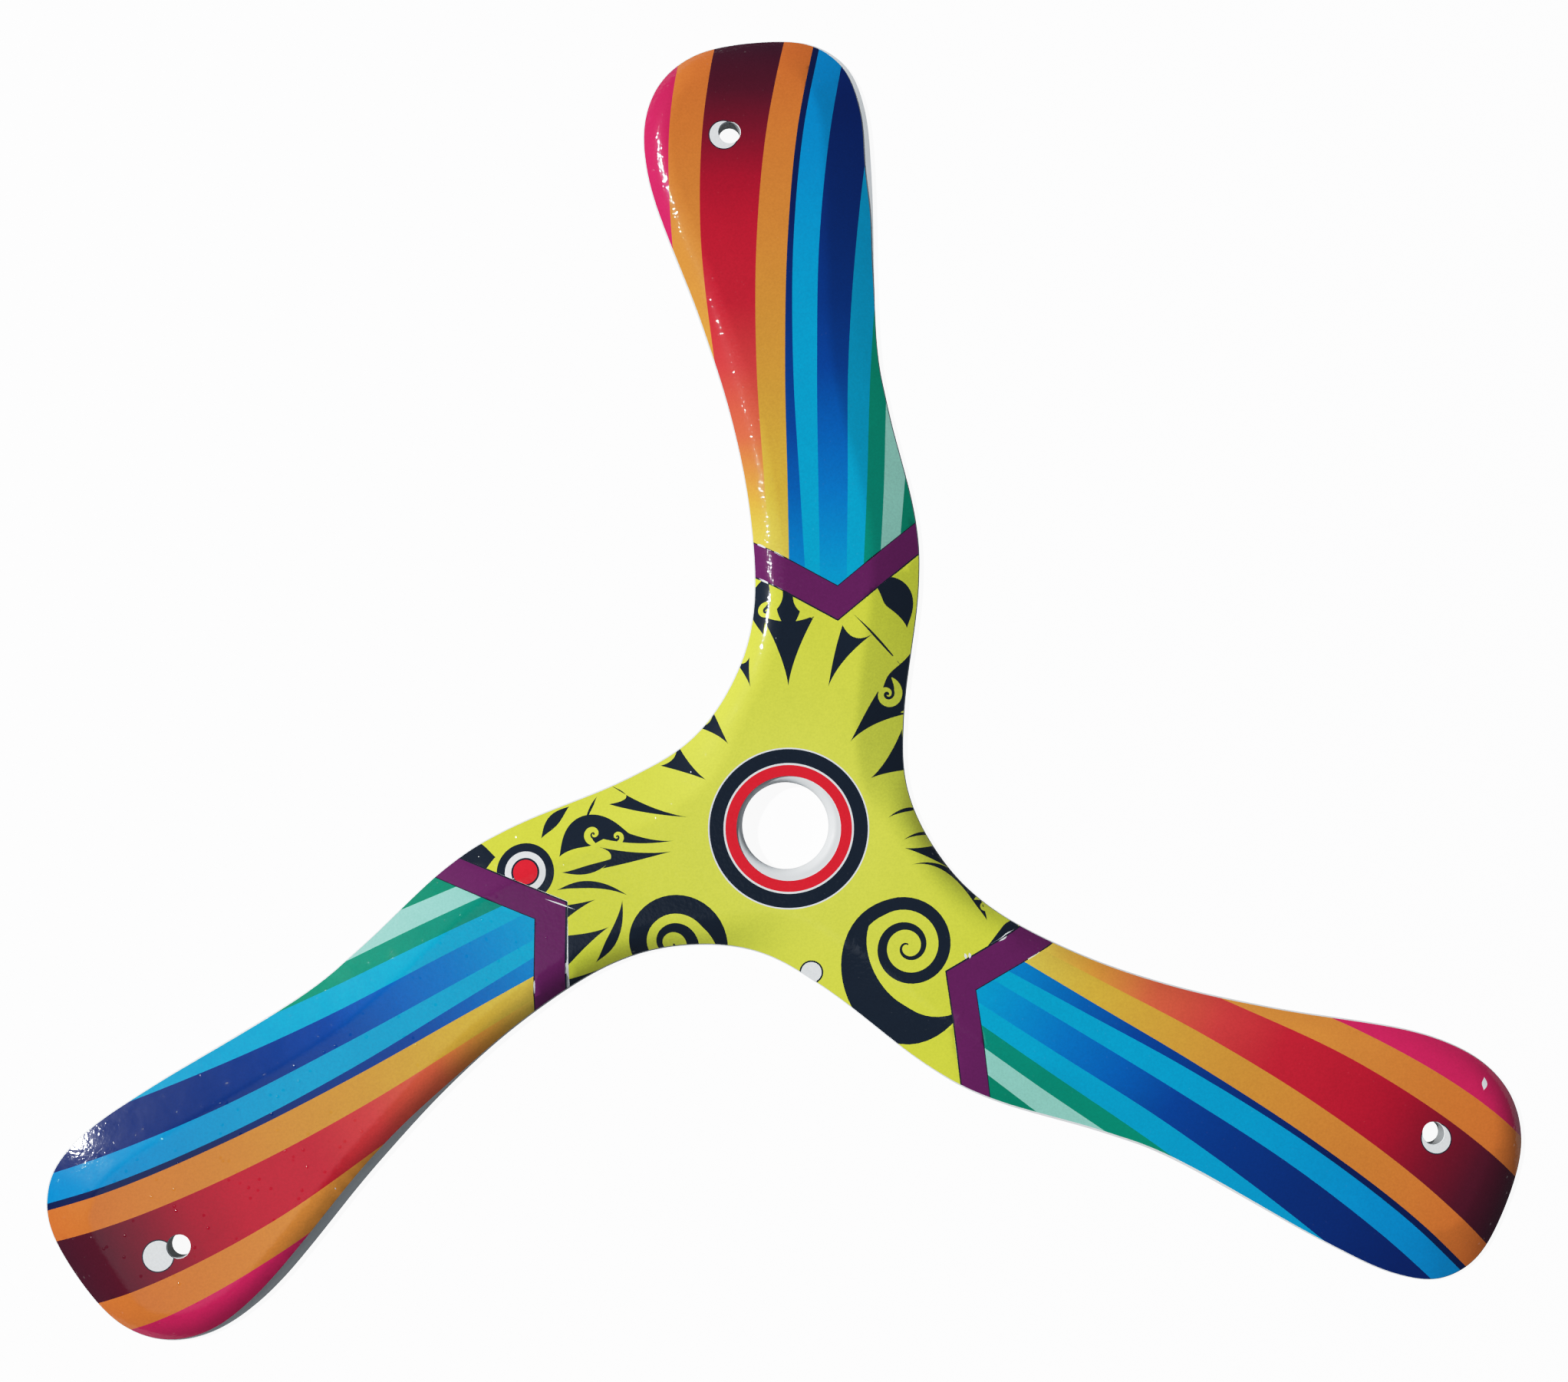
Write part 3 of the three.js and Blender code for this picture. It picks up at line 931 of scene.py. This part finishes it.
class BOOMERANG_OT_films(bpy.types.Operator):
    """Cuts the hub film and the three blade films and lays them on the plate"""

    bl_idname = "boomerang.films"
    bl_label = "Films"

    def execute(self, context):
        sizes = context.scene.boomerang_sizes
        colours = context.scene.boomerang_colours
        surface = Surface(sizes)
        margin = film_margin(surface)
        border = surface.ring(margin)
        grid = film_grid(surface, margin)
        edge = film_edge_material()
        holes = [circle(centre, radius + 0.12 * MM, 64) for centre, radius in surface.tip_holes]
        regions = []
        for blade in range(BLADES):
            region = place_print(band_region(-2 * BAND_LINE), blade)
            regions.append(place_print(band_region(-2 * BAND_LINE, SEAM_GAPS[blade]), blade))
            near = grid[[Surface.blade_of(point) == blade for point in grid]]
            near = near[lift_print(near, blade)[:, 1] > 30]
            film = cut_film(
                surface, near, border, [region], [holes[blade]], blade_artwork(blade, colours))
            node = f"blade_film_{blade + 1}"
            ink = film_material(f"{node}_ink", FILM_GRAIN[blade])
            self.thicken(film, sizes, [ink, edge])
            finish_piece(film, f"printed_{node}", node)
        reach = surface.hub_hole[1] + sizes.rim_radius + 0.1 * MM
        hub_hole = circle(np.array(HUB_CENTRE) * MM, reach, 160)
        near = grid[np.linalg.norm(grid, axis=1) < 75 * MM]
        film = cut_film(surface, near, border, [], regions + [hub_hole], hub_artwork(colours))
        self.thicken(film, sizes, [film_material("hub_film_ink", HUB_GRAIN), edge])
        finish_piece(film, "printed_hub_film", "hub_film")
        return {"FINISHED"}

    @staticmethod
    def thicken(film, sizes, slots):
        """Gives a cut sheet its materials and its thickness, with its cut edge in the second."""
        for slot in slots:
            film.data.materials.append(slot)
        apply_modifier(
            film, "SOLIDIFY", thickness=sizes.film_thickness, offset=-1.0, use_rim=True,
            material_offset_rim=1)


class BOOMERANG_OT_stage(bpy.types.Operator):
    """Sets the pale floor, the lamp, the sky and the camera"""

    bl_idname = "boomerang.stage"
    bl_label = "Stage"

    def execute(self, context):
        scene = context.scene
        scene.view_settings.view_transform = "Standard"
        self.soft_shoulder(scene.view_settings)
        bpy.ops.mesh.primitive_plane_add(size=FLOOR_WIDTH, location=(0, 0, -0.3 * MM))
        floor = context.object
        floor.name = "floor"
        floor.data.materials.append(floor_material())
        self.light("key_light", LAMP_PLACE, LAMP_WIDTH, LAMP_POWER)
        world = scene.world or bpy.data.worlds.new("studio")
        scene.world = world
        world.use_nodes = True
        self.sky(world.node_tree)
        camera = bpy.data.objects.new("camera", bpy.data.cameras.new("camera"))
        context.collection.objects.link(camera)
        camera.data.sensor_width = 36
        camera.data.lens = CAMERA_LENS
        camera.location = [value * MM for value in CAMERA_PLACE]
        camera.rotation_euler = [math.radians(angle) for angle in CAMERA_TURN]
        camera.data.clip_start = 0.01
        scene.camera = camera
        return {"FINISHED"}

    @staticmethod
    def soft_shoulder(view):
        """Lets bright colours roll off softly, as a camera does, in place of clipping."""
        view.use_curve_mapping = True
        mapping = view.curve_mapping
        mapping.clip_max_x, mapping.clip_max_y = 2.4, 1.0
        curve = mapping.curves[3]
        curve.points[1].location = (2.4, 1.0)
        for place in ((0.3, 0.3), (0.6, 0.6), (0.8, 0.71), (1.0, 0.79), (1.5, 0.92)):
            curve.points.new(*place)
        mapping.update()

    @staticmethod
    def sky(tree):
        """A dim studio with a soft glow overhead on the left; the backdrop itself is pale."""
        tree.nodes.clear()
        output = tree.nodes.new("ShaderNodeOutputWorld")
        way = add_node(tree, "ShaderNodeTexCoord").outputs["Generated"]
        glow = add_node(
            tree, "ShaderNodeVectorMath", {"operation": "DOT_PRODUCT"}, _0=way,
            _1=(-0.26, -0.16, 0.952)).outputs["Value"]
        strength = remap(tree, glow, 0.95, 0.998, 0.11, 0.75)
        dim = add_node(
            tree, "ShaderNodeBackground", Color=(0.82, 0.91, 1.0, 1), Strength=strength)
        pale = add_node(tree, "ShaderNodeBackground", Color=(0.93, 0.94, 0.95, 1), Strength=1.0)
        seen = add_node(tree, "ShaderNodeLightPath").outputs["Is Camera Ray"]
        mixed = add_node(
            tree, "ShaderNodeMixShader", _0=seen, _1=dim.outputs[0], _2=pale.outputs[0])
        tree.links.new(mixed.outputs[0], output.inputs["Surface"])

    @staticmethod
    def light(name, place, size, power):
        """A square area light that faces the boomerang."""
        data = bpy.data.lights.new(name, "AREA")
        data.size = size
        data.energy = power
        light = bpy.data.objects.new(name, data)
        light.location = place
        light.rotation_euler = (-Vector(place)).to_track_quat("-Z", "Y").to_euler()
        bpy.context.collection.objects.link(light)


class BOOMERANG_PT_panel(bpy.types.Panel):
    """Lists the pieces in the order in which they are made"""

    bl_idname = "BOOMERANG_PT_panel"
    bl_label = "Three-Blade Boomerang"
    bl_space_type = "VIEW_3D"
    bl_region_type = "UI"
    bl_category = "Boomerang"

    def draw(self, context):
        layout = self.layout
        for group in (context.scene.boomerang_sizes, context.scene.boomerang_colours):
            box = layout.box()
            for name in group.__annotations__:
                box.prop(group, name)
        for operator in PIECES:
            layout.operator(operator.bl_idname)


PIECES = (BOOMERANG_OT_plate, BOOMERANG_OT_films, BOOMERANG_OT_stage)
CLASSES = (BoomerangSizes, BoomerangColours, *PIECES, BOOMERANG_PT_panel)


def register():
    for item in CLASSES:
        bpy.utils.register_class(item)
    bpy.types.Scene.boomerang_sizes = bpy.props.PointerProperty(type=BoomerangSizes)
    bpy.types.Scene.boomerang_colours = bpy.props.PointerProperty(type=BoomerangColours)


def unregister():
    del bpy.types.Scene.boomerang_colours
    del bpy.types.Scene.boomerang_sizes
    for item in reversed(CLASSES):
        bpy.utils.unregister_class(item)


def main():
    register()
    bpy.ops.boomerang.plate()
    bpy.ops.boomerang.films()
    bpy.ops.boomerang.stage()


if __name__ == "__main__":
    main()
